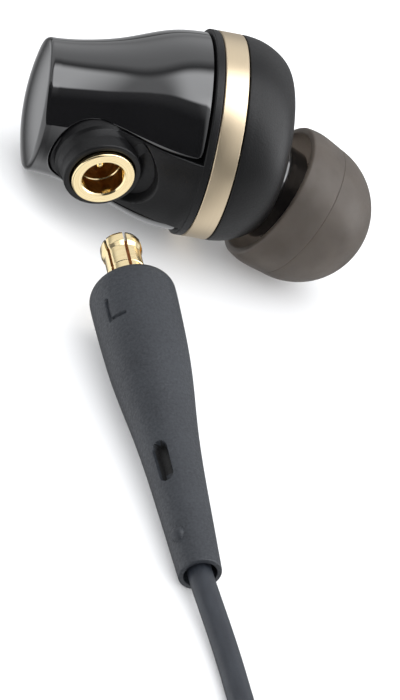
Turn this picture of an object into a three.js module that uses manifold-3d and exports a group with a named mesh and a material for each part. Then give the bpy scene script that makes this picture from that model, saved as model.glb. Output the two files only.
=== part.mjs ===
// Left in-ear monitor lying on a table, its detachable lead drawn straight out of the socket.
// Millimetres, +Z up, origin under the middle of the earphone and the lead's rubber sleeve.
import * as THREE from "three";
import { mergeVertices } from "three/addons/utils/BufferGeometryUtils.js";
import Module from "manifold-3d";

const wasm = await Module();
wasm.setup();
const { degToRad } = THREE.MathUtils;

// ---- Driving dimensions ----

// How it lies: the lead's axis runs along -Y and droops, and the earphone is rolled about it until the
// cap's rim, the ear tip and the end of the rubber sleeve all touch the table.
const LEAD_ORIGIN = new THREE.Vector3(-9.53, 20.84, 6.232);
const DROOP = degToRad(5.56);
const ROLL = degToRad(195.58);

// The housing is turned about its own axis, measured from the middle of the trim ring towards the nozzle.
const SOCKET_ANGLE = degToRad(81.05);
const SOCKET_BEHIND_RING = 10;
const SEAM = 0.1;
const RING = { radius: 8.2, bore: 7.0, half: 0.92, chamfer: 0.12 };
const LIP = { back: -1.75, radius: 8.2, bore: 6.3, spigot: 6.8, spigotBack: -2.5 };
const COVER = { front: -1.95, apex: -14.9, dome: 18, face: 4.9, rim: 5.3, wall: 0.6 };
const TUB = { inset: 0.9, wall: 0.5, padInset: 0.15 };
const FRONT = { face: 5.75, wall: 0.8 };

// U-shaped cut-out in the rear cover, round the socket, rolled a little about the housing's axis.
const CUTOUT = { half: 3.75, gap: 0.3, from: 1.5, to: 12, length: 14 };
const CUTOUT_ROLL = degToRad(4.5);

// Socket, measured along the lead's axis from the housing's axis.
const SOCKET = { face: 7.72, inner: 1.6, floor: 2.7, radius: 2.48, bore: 1.62, chamfer: 0.12 };
const BOSS = { radius: 3.05, from: 2.5, top: 7.32 };
const FLARE = { radius: 3.15, from: 5.5, to: 6 };
const POCKET = { radius: 4.1, floor: 6.3 };
const PIN = { radius: 0.3, from: 0.6, tip: 6.2 };

// Nozzle and ear tip, measured along the nozzle's axis from the centre of the tip's dome.
const TIP_CENTRE = new THREE.Vector3(1.21, 4.88, 8.53);
const NOZZLE_LEAN = degToRad(23.7);
const NOZZLE_TURN = degToRad(76.3);
const NOZZLE = { back: -5.2, base: 3.9, shoulder: -2.0, neck: 2.5, lip: 2.66, end: 3.3, bore: 1.9 };
const TIP = { radius: 5.85, skirt: -3, rim: 5.6, wall: 0.55 };
const TIP_CORE = { back: -1.8, radius: 3.5, bore: 2.75, hole: 1.95 };

// Plug and sleeve, measured along the lead's axis.
const PLUG_GAP = 7.4;
const COLLET = { length: 9.4, exposed: 4.8, lip: 1.55, neck: 1.4, bore: 1.08 };
const COLLET_SLOT = { width: 0.3, end: 4.7, cuts: 3 };
const SLEEVE = { length: 28.4, bore: 1.95, boreDepth: 7, cordBore: 1.2 };

// Cord, coil and 3.5 mm plug.
const CORD_RADIUS = 0.9;
const COIL = { x: 5.4, y: -62.8, inner: 5.9, outer: 15.7, height: 7.4, round: 1.2 };
const TIE = { width: 4, thick: 0.5, gap: 0.6, notch: 0.8 };
const JACK = { x: -9.45, y: -78.2, height: 3.2, relief: 7.8, barrel: 15, pin: 14, gap: 0.05, seat: 1.2 };

// Sides of the turned pieces, from the big shells to the contacts.
const SHELL_SIDES = 32;
const PART_SIDES = 24;
const SMALL_SIDES = 16;
const CORD_SIDES = 8;
const CORD_STEP = 4;

// ---- Making shapes ----

// A solid turned about +Z from [distance along the axis, radius] pairs.
function turned(outline, sides) {
  const points = outline.map(([along, radius]) => new THREE.Vector2(radius, along));
  if (THREE.ShapeUtils.area(points) < 0) points.reverse();
  if (points[0].x > 0) points.push(points[0].clone());
  return new THREE.LatheGeometry(points, sides).rotateX(Math.PI / 2);
}

const disc = (from, to, radius, sides) =>
  turned([[from, 0], [from, radius], [to, radius], [to, 0]], sides);

const tube = (from, to, inner, outer, sides) =>
  turned([[from, inner], [from, outer], [to, outer], [to, inner]], sides);

// A round tube of a cord's section along hand-chosen points.
function cordAlong(points, radius, sides, step) {
  const path = new THREE.CatmullRomCurve3(points, false, "centripetal");
  const section = new THREE.Shape().absarc(0, 0, radius, 0, 2 * Math.PI);
  return new THREE.ExtrudeGeometry(section, {
    extrudePath: path,
    steps: Math.ceil(path.getLength() / step),
    curveSegments: sides / 2,
    bevelEnabled: false,
  });
}

function solid(geometry) {
  const flat = geometry.index ? geometry.toNonIndexed() : geometry;
  const bare = new THREE.BufferGeometry().setAttribute("position", flat.getAttribute("position"));
  const merged = mergeVertices(bare, 1e-3);
  const triVerts = new Uint32Array(merged.index.array);
  const vertProperties = merged.attributes.position.array;
  return new wasm.Manifold(new wasm.Mesh({ numProp: 3, vertProperties, triVerts }));
}

function geometryOf(made) {
  const { vertProperties, triVerts } = made.getMesh();
  return new THREE.BufferGeometry()
    .setAttribute("position", new THREE.BufferAttribute(vertProperties, 3))
    .setIndex(new THREE.BufferAttribute(triVerts, 1));
}

// ---- Materials ----

function material(color, roughness, metalness = 0) {
  return new THREE.MeshStandardMaterial({ color, roughness, metalness });
}
const looks = {
  gloss: material(0x0b0b0c, 0.08),
  matte: material(0x1b1b1c, 0.55),
  champagne: material(0xcdb692, 0.3, 1),
  gold: material(0xe6c878, 0.18, 1),
  silicone: material(0x7a6d60, 0.4),
  rubber: material(0x35373a, 0.75),
  cord: material(0x3a3d44, 0.6),
  plastic: material(0x2a2622, 0.6),
  steel: material(0xb8babd, 0.35, 1),
  copper: material(0xb87333, 0.35, 1),
  foam: material(0x4a4a4c, 0.95),
  board: material(0x1f4d33, 0.5),
};

function piece(group, name, geometry, look) {
  const mesh = new THREE.Mesh(geometry, look);
  mesh.name = name;
  group.add(mesh);
}

// ---- Frames ----

const part = new THREE.Group();
const lead = new THREE.Group();
lead.position.copy(LEAD_ORIGIN);
lead.rotation.x = Math.PI / 2 + DROOP;
part.add(lead);

const earphone = new THREE.Group();
earphone.rotation.z = ROLL;
lead.add(earphone);

const turnedHousing = new THREE.Group();
turnedHousing.rotation.y = -SOCKET_ANGLE;
earphone.add(turnedHousing);

const housing = new THREE.Group();
housing.position.z = SOCKET_BEHIND_RING;
turnedHousing.add(housing);

const nozzle = new THREE.Group();
nozzle.position.copy(TIP_CENTRE);
nozzle.rotation.set(0, NOZZLE_LEAN, NOZZLE_TURN, "ZYX");
housing.add(nozzle);

// Geometry made along the socket's or the nozzle's axis, put into the housing's frame.
const socketInHousing = new THREE.Matrix4()
  .makeRotationY(SOCKET_ANGLE)
  .setPosition(0, 0, -SOCKET_BEHIND_RING);
const cutoutInHousing = new THREE.Matrix4().makeRotationZ(CUTOUT_ROLL).multiply(socketInHousing);
nozzle.updateMatrix();
const inHousing = (geometry, placement) => solid(geometry.applyMatrix4(placement));

// ---- Rear shells ----

const flank = new THREE.SplineCurve([
  new THREE.Vector2(COVER.front, 7.9),
  new THREE.Vector2(-3.2, 7.8),
  new THREE.Vector2(-5.6, 7.24),
  new THREE.Vector2(-8, 6.35),
  new THREE.Vector2(-10.4, 5.72),
  new THREE.Vector2(-12.4, 5.39),
  new THREE.Vector2(-13.45, COVER.rim),
]);

// The rear end's outline from its front edge back to the axis, a given depth inside the outer skin.
function rearOutline(inset) {
  const side = flank.getPoints(6).map(({ x, y }) => [x, y - inset]);
  const domeAt = (radius) => COVER.apex + COVER.dome - Math.sqrt(COVER.dome ** 2 - radius ** 2);
  const rimRound = [-14 + inset * 0.7, 5.13 - inset];
  const dome = [1, 0.5, 0].map((share) => share * (COVER.face - inset * 0.7));
  return [...side.map(([z, r]) => [Math.max(z, rimRound[0] + 0.1), r]), rimRound].concat(
    dome.map((radius) => [domeAt(radius) + inset, radius]),
  );
}

const bowl = (outer, inner) =>
  turned([...rearOutline(inner).reverse(), ...rearOutline(outer)], SHELL_SIDES);

// A prism along the socket's axis: a half round behind the socket, straight sides forward to the lip.
function cutoutPrism(half) {
  const outline = new THREE.Shape()
    .moveTo(-CUTOUT.length, -half)
    .lineTo(0, -half)
    .absarc(0, 0, half, -Math.PI / 2, Math.PI / 2)
    .lineTo(-CUTOUT.length, half);
  const prism = new THREE.ExtrudeGeometry(outline, {
    depth: CUTOUT.to - CUTOUT.from,
    curveSegments: 10,
    bevelEnabled: false,
  });
  return inHousing(prism.translate(0, 0, CUTOUT.from), cutoutInHousing);
}

function rearCover() {
  const shell = solid(bowl(0, COVER.wall));
  return geometryOf(shell.subtract(cutoutPrism(CUTOUT.half)));
}

function rearHousing() {
  const tub = solid(bowl(TUB.inset, TUB.inset + TUB.wall));
  const spigot = solid(tube(LIP.spigotBack, LIP.back, LIP.bore, LIP.spigot, SHELL_SIDES));
  const lip = solid(tube(LIP.back, -RING.half - SEAM, LIP.bore, LIP.radius, SHELL_SIDES)).add(spigot);
  const pad = solid(bowl(TUB.padInset, TUB.inset + TUB.wall));
  const flare = [[BOSS.from, FLARE.radius], [FLARE.from, FLARE.radius], [FLARE.to, BOSS.radius]];
  const boss = turned([[BOSS.from, 0], ...flare, [BOSS.top, BOSS.radius], [BOSS.top, 0]], PART_SIDES);
  const pocket = tube(POCKET.floor, CUTOUT.to, BOSS.radius, POCKET.radius, PART_SIDES);
  const bore = disc(0, CUTOUT.to, SOCKET.radius + SEAM, PART_SIDES);
  const shell = tub
    .add(lip)
    .add(pad.intersect(cutoutPrism(CUTOUT.half - CUTOUT.gap)))
    .subtract(inHousing(pocket, socketInHousing))
    .add(inHousing(boss, socketInHousing))
    .subtract(inHousing(bore, socketInHousing));
  return geometryOf(shell);
}

// ---- Front shells ----

function frontHousing() {
  const back = RING.half + SEAM;
  const side = new THREE.SplineCurve([
    new THREE.Vector2(back, 8.17),
    new THREE.Vector2(2.2, 8.08),
    new THREE.Vector2(3.8, 7.45),
    new THREE.Vector2(4.9, 6.5),
    new THREE.Vector2(5.5, 5.0),
  ]).getPoints(6);
  const outer = side.map(({ x, y }) => [x, y]);
  const inner = side.map(({ x, y }) => [Math.max(back, x - FRONT.wall), y - FRONT.wall]);
  const shell = turned(
    [[FRONT.face, 0], ...outer.reverse(), ...inner, [FRONT.face - FRONT.wall, 0]],
    SHELL_SIDES,
  );
  const hole = disc(NOZZLE.back - 1, NOZZLE.end, NOZZLE.base + 0.15, PART_SIDES);
  return geometryOf(solid(shell).subtract(inHousing(hole, nozzle.matrix)));
}

function trimRing() {
  const { radius, bore, half, chamfer } = RING;
  return turned(
    [
      [-half, bore],
      [-half, radius - chamfer],
      [-half + chamfer, radius],
      [half - chamfer, radius],
      [half, radius - chamfer],
      [half, bore],
    ],
    SHELL_SIDES,
  );
}

// ---- Driver, inside the ring ----

function addDriver(group) {
  const frame = [[-3, 3.75], [-3, 4.4], [-1.5, 5.9], [0.5, 5.9], [0.5, 5.5], [-0.4, 5.5]];
  const seat = [[-0.4, 5.1], [-1.1, 5.1], [-2.3, 4.2], [-2.3, 3.75]];
  piece(group, "driver_frame", turned([...frame, ...seat], PART_SIDES), looks.plastic);
  const cone = [[0.2, 0], [0.05, 1.6], [-0.5, 2.75], [-0.15, 4], [-0.3, 5.45]];
  const skin = cone.map(([along, radius]) => [along + 0.15, radius]).reverse();
  piece(group, "diaphragm", turned([...cone, ...skin], PART_SIDES), looks.foam);
  piece(group, "voice_coil", tube(-2.6, -0.65, 2.7, 2.9, PART_SIDES), looks.copper);
  piece(group, "pole_plate", disc(-2.2, -1.6, 2.6, PART_SIDES), looks.steel);
  piece(group, "magnet", disc(-3.7, -2.25, 2.6, PART_SIDES), looks.steel);
  const cup = [[-4.2, 0], [-4.2, 3.65], [-1.6, 3.65], [-1.6, 3.05], [-3.75, 3.05], [-3.75, 0]];
  piece(group, "yoke", turned(cup, PART_SIDES), looks.steel);
  piece(group, "driver_gasket", tube(0.55, 1, 5.3, 6.6, PART_SIDES), looks.foam);
  piece(group, "terminal_board", disc(-4.9, -4.3, 3, PART_SIDES), looks.board);
}

// ---- Nozzle and ear tip ----

function addNozzle(group) {
  const { back, base, shoulder, neck, lip, end, bore } = NOZZLE;
  const outside = [[back, base], [shoulder - 0.3, base], [shoulder, base - 0.3], [shoulder, neck]];
  const rib = [[end - 1, neck], [end - 0.8, lip], [end - 0.3, lip], [end, neck]];
  const shape = turned([[back, bore], ...outside, ...rib, [end, bore]], PART_SIDES);
  piece(group, "nozzle", shape, looks.gloss);
  piece(group, "acoustic_damper", disc(-1.5, 0.5, bore - 0.08, SMALL_SIDES), looks.foam);
  piece(group, "nozzle_mesh", disc(end - 0.5, end - 0.3, bore - 0.08, SMALL_SIDES), looks.steel);
}

// An umbrella of silicone round a thick core: dome, skirt, and a bore that narrows to the sound hole.
function earTip() {
  const { radius, skirt, rim, wall } = TIP;
  const { back, radius: core, bore, hole } = TIP_CORE;
  const arc = (size, from, to, steps) =>
    Array.from({ length: steps + 1 }, (_, i) => {
      const angle = from + ((to - from) * i) / steps;
      return [size * Math.cos(angle), size * Math.sin(angle)];
    });
  const mouth = Math.asin((hole + 0.25) / radius);
  const root = Math.asin(core / (radius - wall));
  const flared = [[skirt / 2, radius + 0.15], [skirt + 0.4, rim + 0.3]];
  const lip = [...flared, [skirt, rim - 0.05], [skirt, rim - wall + 0.15]];
  const outside = [...arc(radius, mouth, Math.PI / 2, 7), ...lip];
  const inside = [[skirt + 0.4, rim - wall + 0.05], ...arc(radius - wall, Math.PI / 2, root, 4)];
  const throat = [[back, core], [back, bore], [NOZZLE.end + 0.3, bore]];
  const mouthRing = [[NOZZLE.end + 0.6, hole], [radius * Math.cos(mouth) - 0.25, hole]];
  return turned([...outside, ...inside, ...throat, ...mouthRing], PART_SIDES);
}

// ---- Socket and its wiring ----

function addSocket(group) {
  const { face, inner, floor, radius, bore, chamfer } = SOCKET;
  const barrel = [
    [inner, bore],
    [inner, radius],
    [face - 0.1, radius],
    [face, radius - 0.1],
    [face, bore + chamfer],
    [face - chamfer, bore],
  ];
  piece(group, "socket_barrel", turned(barrel, PART_SIDES), looks.gold);
  const insulator = tube(inner + 0.1, floor, PIN.radius + 0.07, bore - 0.07, SMALL_SIDES);
  piece(group, "socket_insulator", insulator, looks.plastic);
  const pin = [[PIN.from, 0], [PIN.from, PIN.radius], [PIN.tip - 0.2, PIN.radius], [PIN.tip, 0]];
  piece(group, "socket_pin", turned(pin, CORD_SIDES), looks.gold);
  piece(group, "socket_nut", tube(inner + 0.15, BOSS.from - SEAM, radius + SEAM, 3, PART_SIDES), looks.steel);
}

function addWire(group, name, from, to) {
  const middle = from.clone().lerp(to, 0.5).add(new THREE.Vector3(0.3, 0.3, 0));
  piece(group, name, cordAlong([from, middle, to], 0.22, 6, 1.5), looks.copper);
}

// ---- Plug and sleeve ----

function addPlug(group) {
  const tip = SOCKET.face + PLUG_GAP;
  const { length, lip, neck, bore } = COLLET;
  const outline = [
    [0, bore + 0.15],
    [0, neck],
    [0.35, lip],
    [0.85, lip],
    [1.3, neck],
    [length, neck],
    [length, bore],
    [0.2, bore],
  ];
  let collet = solid(turned(outline, PART_SIDES));
  for (let cut = 0; cut < COLLET_SLOT.cuts; cut += 1) {
    const turn = (cut * Math.PI) / COLLET_SLOT.cuts;
    const saw = new THREE.BoxGeometry(COLLET_SLOT.width, 4, 2 * COLLET_SLOT.end).rotateZ(turn);
    collet = collet.subtract(solid(saw));
  }
  piece(group, "plug_collet", geometryOf(collet).translate(0, 0, tip), looks.gold);
  const insulator = tube(tip + 0.4, tip + length, 0.68, bore - 0.06, SMALL_SIDES);
  piece(group, "plug_insulator", insulator, looks.plastic);
  const contact = tube(tip + 0.35, tip + length, PIN.radius + 0.08, 0.62, SMALL_SIDES);
  piece(group, "plug_contact", contact, looks.gold);
}

function addSleeve(group) {
  const top = SOCKET.face + PLUG_GAP + COLLET.exposed;
  const { length, bore, boreDepth, cordBore } = SLEEVE;
  const shoulder = [[0, 2.3], [0.3, 2.97], [1, 3.27], [2.3, 3.27]];
  const taper = new THREE.SplineCurve([
    new THREE.Vector2(4.9, 3.2),
    new THREE.Vector2(8.8, 3.0),
    new THREE.Vector2(15.2, 2.32),
    new THREE.Vector2(19.2, 2.0),
    new THREE.Vector2(28.1, 1.56),
  ]).getPoints(6);
  const inside = [[length, 1.42], [length, cordBore], [boreDepth, cordBore], [boreDepth, bore], [0, bore]];
  const outline = [...shoulder, ...taper.map(({ x, y }) => [x, y]), ...inside];
  piece(group, "sleeve", turned(outline, PART_SIDES).translate(0, 0, top), looks.rubber);
  const ferrule = tube(top + 0.3, top + boreDepth - SEAM, COLLET.neck + 0.05, bore - 0.05, SMALL_SIDES);
  piece(group, "plug_ferrule", ferrule, looks.steel);
}

// ---- Cord ----

// From the ferrule through the sleeve, out of its end, down to the table and along it to the coil.
const RUN = [
  [-9.53, -6.33, 3.587],
  [-9.53, -11.01, 3.131],
  [-9.53, -15.99, 2.647],
  [-9.53, -20.96, 2.163],
  [-9.53, -24.94, 1.775],
  [-9.51, -27.3, 1.54],
  [-9.3, -29.8, 1.3],
  [-9.08, -32.4, 1.08],
  [-9.0, -35.2, 0.95],
  [-9.08, -38.4, 0.9],
  [-9.22, -42, 0.9],
  [-9.32, -46, 0.9],
  [-9.35, -50, 0.9],
  [-9.35, -54.4, 0.9],
];

// From the coil's top turn down to the 3.5 mm plug.
const TAIL = [
  [-9.35, -71.2, 5.8],
  [-9.37, -73, 5.05],
  [-9.42, -75.2, 3.9],
  [-9.45, -76.6, 3.38],
  [-9.45, -77.9, 3.2],
];

function addCord(group) {
  const along = (points) =>
    cordAlong(points.map((point) => new THREE.Vector3(...point)), CORD_RADIUS, CORD_SIDES, CORD_STEP);
  piece(group, "cord_run", along(RUN), looks.cord);
  piece(group, "cord_tail", along(TAIL), looks.cord);

  const { x, y, inner, outer, height, round } = COIL;
  const ring = turned(
    [
      [0, inner + round],
      [0, outer - round],
      [round, outer],
      [height - round, outer],
      [height, outer - round],
      [height, inner + round],
      [height - round, inner],
      [round, inner],
    ],
    SHELL_SIDES,
  );
  const across = outer - inner;
  const middle = (inner + outer) / 2;
  const notch = new THREE.BoxGeometry(across + 2, TIE.width + 0.8, 2 * TIE.notch).translate(middle, 0, 0);
  const coil = geometryOf(solid(ring).subtract(solid(notch))).translate(x, y, 0);
  piece(group, "cord_coil", coil, looks.cord);

  const band = (grow, low) => {
    const half = across / 2 + grow;
    const top = height + grow + TIE.notch - TIE.thick;
    const frame = new THREE.Shape().moveTo(-half, low).lineTo(half, low).lineTo(half, top).lineTo(-half, top);
    frame.closePath();
    return frame;
  };
  const strap = band(TIE.gap + TIE.thick, 0);
  strap.holes.push(band(TIE.gap, TIE.thick));
  const tie = new THREE.ExtrudeGeometry(strap, { depth: TIE.width, bevelEnabled: false })
    .rotateX(Math.PI / 2)
    .translate(x + middle, y + TIE.width / 2, 0);
  piece(group, "cable_tie", tie, looks.rubber);
}

// The 3.5 mm plug lies on the table beside the coil, its contacts away from the earphone.
function addJack(group) {
  const { relief, barrel, pin, gap, seat } = JACK;
  const stack = new THREE.Group();
  stack.position.set(JACK.x, JACK.y, JACK.height);
  stack.rotation.x = Math.PI / 2;
  group.add(stack);
  const cone = [[0, 0], [0, 1.45], [relief, 2.3], [relief, 0]];
  piece(stack, "jack_relief", turned(cone, SMALL_SIDES), looks.rubber);
  const shellFrom = relief + gap;
  const shellTo = shellFrom + barrel;
  const shell = [[shellFrom, 0], [shellFrom, 2.7], [shellFrom + 0.5, 3.2], [shellTo - 0.5, 3.2]];
  const nose = [[shellTo, 2.7], [shellTo, 1.85], [shellTo - seat, 1.85], [shellTo - seat, 0]];
  piece(stack, "jack_barrel", turned([...shell, ...nose], PART_SIDES), looks.matte);

  const lengths = { jack_sleeve_contact: 8.8, jack_ring_insulator: 0.6, jack_ring_contact: 1.9 };
  let from = shellTo - seat + gap;
  for (const [name, length] of Object.entries({ ...lengths, jack_tip_insulator: 0.6 })) {
    const look = name.endsWith("insulator") ? looks.plastic : looks.gold;
    piece(stack, name, disc(from, from + length, 1.75, SMALL_SIDES), look);
    from += length + gap;
  }
  const end = shellTo + pin;
  const waist = [[from, 0], [from, 1.75], [from + 0.5, 1.3], [end - 1.6, 1.72], [end - 0.2, 0.7], [end, 0]];
  piece(stack, "jack_tip_contact", turned(waist, SMALL_SIDES), looks.gold);
}

// ---- Assembly ----

piece(housing, "rear_cover", rearCover(), looks.gloss);
piece(housing, "rear_housing", rearHousing(), looks.matte);
piece(housing, "trim_ring", trimRing(), looks.champagne);
piece(housing, "front_housing", frontHousing(), looks.matte);
addDriver(housing);
addNozzle(nozzle);
piece(nozzle, "ear_tip", earTip(), looks.silicone);
addSocket(earphone);
const board = new THREE.Vector3(0, 0, -5.1);
const signalEnd = new THREE.Vector3(0.2, 0, -SOCKET_BEHIND_RING);
addWire(housing, "signal_wire", signalEnd, board.clone().setX(0.8));
const groundEnd = new THREE.Vector3(1.25, 2.05, -SOCKET_BEHIND_RING + 0.2);
addWire(housing, "ground_wire", groundEnd, board.clone().setY(1.6));
addPlug(lead);
addSleeve(lead);
addCord(part);
addJack(part);

export default part;
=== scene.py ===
"""A left in-ear monitor and its lead, lying on a pale table.

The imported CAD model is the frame. The pieces here are built in millimetres in the CAD's own local
frames: the lead's, the earphone's on it, the housing's and the nozzle's."""

import math

import bmesh
import bpy
import numpy as np
from mathutils import Matrix, Vector


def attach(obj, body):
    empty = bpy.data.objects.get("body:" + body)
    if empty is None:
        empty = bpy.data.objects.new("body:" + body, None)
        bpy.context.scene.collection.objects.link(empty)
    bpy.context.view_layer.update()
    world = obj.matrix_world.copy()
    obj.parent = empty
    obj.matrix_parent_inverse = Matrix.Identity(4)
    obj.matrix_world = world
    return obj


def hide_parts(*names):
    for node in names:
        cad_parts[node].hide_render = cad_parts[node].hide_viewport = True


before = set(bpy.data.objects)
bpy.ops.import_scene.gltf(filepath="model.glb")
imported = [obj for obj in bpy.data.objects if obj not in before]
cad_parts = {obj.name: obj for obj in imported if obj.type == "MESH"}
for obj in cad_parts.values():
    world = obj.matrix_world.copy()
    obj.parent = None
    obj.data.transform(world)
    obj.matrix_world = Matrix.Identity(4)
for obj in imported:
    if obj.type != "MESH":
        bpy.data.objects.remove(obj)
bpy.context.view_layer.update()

MM = 0.001
SCENE = bpy.context.scene

# ---- Local frames, as in the CAD ----


def turned(degrees, axis):
    return Matrix.Rotation(math.radians(degrees), 4, axis)


def moved(x, y, z):
    return Matrix.Translation(Vector((x, y, z)) * MM)


LEAD = moved(-9.53, 20.84, 6.232) @ turned(95.56, "X")
EARPHONE = LEAD @ turned(195.58, "Z")
SOCKET_TURN = math.radians(81.05)
SOCKET_BEHIND = 10.0
HOUSING = EARPHONE @ turned(-81.05, "Y") @ moved(0, 0, SOCKET_BEHIND)
CUTOUT_ROLL = 4.5
REAR = HOUSING @ turned(CUTOUT_ROLL, "Z")
NOZZLE = HOUSING @ moved(1.21, 4.88, 8.53) @ turned(76.3, "Z") @ turned(23.7, "Y")
ROW = Matrix.Identity(4)

# ---- Camera ----

LENS = 195.9
SENSOR = 36
CAMERA_PLACE = Vector((-0.14027, -0.21117, 0.14145))
CAMERA_RIGHT = Vector((0.8441, -0.2306, 0.4840))
CAMERA_BACK = Vector((-0.4789, -0.7318, 0.4849))


def add_camera():
    data = bpy.data.cameras.new("camera")
    data.lens = LENS
    data.sensor_width = SENSOR
    data.clip_start = 0.01
    back = CAMERA_BACK.normalized()
    up = back.cross(CAMERA_RIGHT).normalized()
    right = up.cross(back)
    camera = bpy.data.objects.new("camera", data)
    camera.matrix_world = Matrix.Translation(CAMERA_PLACE) @ Matrix((right, up, back)).transposed().to_4x4()
    SCENE.collection.objects.link(camera)
    SCENE.camera = camera


# ---- Cord ----

CORD_RADIUS = 0.9 * MM

# From the ferrule through the sleeve, out of its mouth, down to the table and along it to the coil.
RUN = [
    (-0.00953, -0.00633, 0.003587),
    (-0.00953, -0.01101, 0.003131),
    (-0.00953, -0.01599, 0.002647),
    (-0.00953, -0.02096, 0.002163),
    (-0.00953, -0.02494, 0.001775),
    (-0.00951, -0.0273, 0.00154),
    (-0.0093, -0.0298, 0.0013),
    (-0.00908, -0.0324, 0.00108),
    (-0.009, -0.0352, 0.00095),
    (-0.00908, -0.0384, 0.0009),
    (-0.00922, -0.042, 0.0009),
    (-0.00932, -0.046, 0.0009),
    (-0.00935, -0.05, 0.0009),
    (-0.00935, -0.0544, 0.0009),
]

# From the coil's top turn down to the 3.5 mm plug.
TAIL = [
    (-0.00935, -0.0712, 0.0058),
    (-0.00937, -0.073, 0.00505),
    (-0.00942, -0.0752, 0.0039),
    (-0.00945, -0.0766, 0.00338),
    (-0.00945, -0.0779, 0.0032),
]

COIL_CENTRE = (0.0054, -0.0628)
COIL_OUTER = 0.01475
COIL_PITCH = 0.00185
COIL_LAYERS = 4
TURNS_A_LAYER = 4.25
POINTS_A_TURN = 20
TIE_LIFT = 0.00055


def coil_points():
    """Four layers wound in and out by turns, each turn lifted a little over the tie's lower strap."""
    points = []
    total = round(COIL_LAYERS * TURNS_A_LAYER * POINTS_A_TURN)
    for i in range(total + 1):
        turns = i / POINTS_A_TURN
        layer = min(int(turns / TURNS_A_LAYER), COIL_LAYERS - 1)
        within = turns - layer * TURNS_A_LAYER
        inwards = within if layer % 2 == 0 else TURNS_A_LAYER - within
        radius = COIL_OUTER - COIL_PITCH * inwards
        climb = sum(
            min(max((turns - change * TURNS_A_LAYER) / 0.5 + 0.5, 0), 1) for change in range(1, COIL_LAYERS)
        )
        angle = math.pi + 2 * math.pi * turns
        x = COIL_CENTRE[0] + radius * math.cos(angle)
        off_tie = abs(radius * math.sin(angle)) if math.cos(angle) > 0 else radius
        lift = TIE_LIFT * (0.5 + 0.5 * math.cos(math.pi * min(max((off_tie - 0.0026) / 0.0055, 0), 1)))
        points.append((x, COIL_CENTRE[1] + radius * math.sin(angle), CORD_RADIUS + COIL_PITCH * climb + lift))
    return points


def add_cord(look):
    data = bpy.data.curves.new("lead_cord", "CURVE")
    data.dimensions = "3D"
    data.bevel_depth = CORD_RADIUS
    data.bevel_resolution = 5
    data.resolution_u = 5
    data.use_fill_caps = True
    points = [*RUN, *coil_points(), *TAIL]
    spline = data.splines.new("BEZIER")
    spline.bezier_points.add(len(points) - 1)
    for knot, point in zip(spline.bezier_points, points):
        knot.co = point
        knot.handle_left_type = knot.handle_right_type = "AUTO"
    data.materials.append(look)
    cord = bpy.data.objects.new("lead_cord", data)
    SCENE.collection.objects.link(cord)
    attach(cord, "lead")
    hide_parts("cord_run", "cord_coil", "cord_tail")
    return cord


# ---- Shapes: outlines are (along, radius) points in millimetres ----


def smooth_curve(knots):
    """A natural cubic spline through (x, y) knots with rising x, as a function of x."""
    x, y = np.array(knots, float).T
    step, slope = np.diff(x), np.diff(y) / np.diff(x)
    matrix, load = np.eye(len(x)), np.zeros(len(x))
    for i in range(1, len(x) - 1):
        matrix[i, i - 1 : i + 2] = step[i - 1], 2 * (step[i - 1] + step[i]), step[i]
        load[i] = 6 * (slope[i] - slope[i - 1])
    bend = np.linalg.solve(matrix, load)

    def value(at):
        i = np.clip(np.searchsorted(x, at) - 1, 0, len(x) - 2)
        after, before, h = x[i + 1] - at, at - x[i], step[i]
        cubic = (bend[i] * after**3 + bend[i + 1] * before**3) / (6 * h)
        return cubic + (y[i] / h - bend[i] * h / 6) * after + (y[i + 1] / h - bend[i + 1] * h / 6) * before

    return value


def lengths(line):
    """How far along a line each of its points lies."""
    return np.concatenate([[0], np.cumsum(np.linalg.norm(np.diff(line, axis=0), axis=1))])


def smooth_line(knots, count):
    """Points along a smooth line through any knots."""
    knots = np.array(knots, float)
    at = lengths(knots)
    where = np.linspace(0, at[-1], count)
    return np.stack([smooth_curve(np.stack([at, side], axis=1))(where) for side in knots.T], axis=1)


def rounded(corners, loop=False, step=12):
    """An outline with its corners rounded: a corner is (along, radius) or (along, radius, fillet)."""
    points = []
    for i, corner in enumerate(corners):
        here = np.array(corner[:2], float)
        if len(corner) < 3 or (not loop and i in (0, len(corners) - 1)):
            points.append(here)
            continue
        before = np.array(corners[i - 1][:2], float) - here
        after = np.array(corners[(i + 1) % len(corners)][:2], float) - here
        before /= np.linalg.norm(before)
        after /= np.linalg.norm(after)
        half = math.acos(float(before @ after)) / 2
        middle = before + after
        centre = here + middle / np.linalg.norm(middle) * corner[2] / math.sin(half)
        first = here + before * corner[2] / math.tan(half) - centre
        last = here + after * corner[2] / math.tan(half) - centre
        sweep = math.pi - 2 * half
        for share in np.linspace(0, 1, max(3, math.ceil(math.degrees(sweep) / step) + 1)):
            away = (math.sin((1 - share) * sweep) * first + math.sin(share * sweep) * last) / math.sin(sweep)
            points.append(centre + away)
    return np.array(points)


def arc(radius, start, end, count, along=0.0, out=0.0):
    """Points of an arc about (along, out), its angles in degrees from the axis."""
    angle = np.radians(np.linspace(start, end, count))
    return np.stack([along + radius * np.cos(angle), out + radius * np.sin(angle)], axis=1)


def round_grid(outline, sides=128):
    """The rows of points that an outline makes when it is turned about +Z."""
    turn = np.linspace(0, 2 * math.pi, sides, endpoint=False)
    across, side = np.cos(turn), np.sin(turn)
    along, radius = np.array(outline, float).T
    up = np.outer(along, np.ones(sides))
    return np.stack([np.outer(radius, across), np.outer(radius, side), up], axis=2)


def disc(start, end, radius, fillet):
    """The outline of a solid disc from start to end along its axis."""
    return rounded([(start, 0), (start, radius, fillet), (end, radius, fillet), (end, 0)])


def band(start, end, bore, radius, bore_fillet, fillet):
    """The outline of a ring from start to end along its axis."""
    outside = (start, radius, fillet), (end, radius, fillet)
    return rounded([(start, bore, bore_fillet), *outside, (end, bore, bore_fillet)], loop=True)


def at_distance(outline, start):
    return [(along + start, *rest) for along, *rest in outline]


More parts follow.
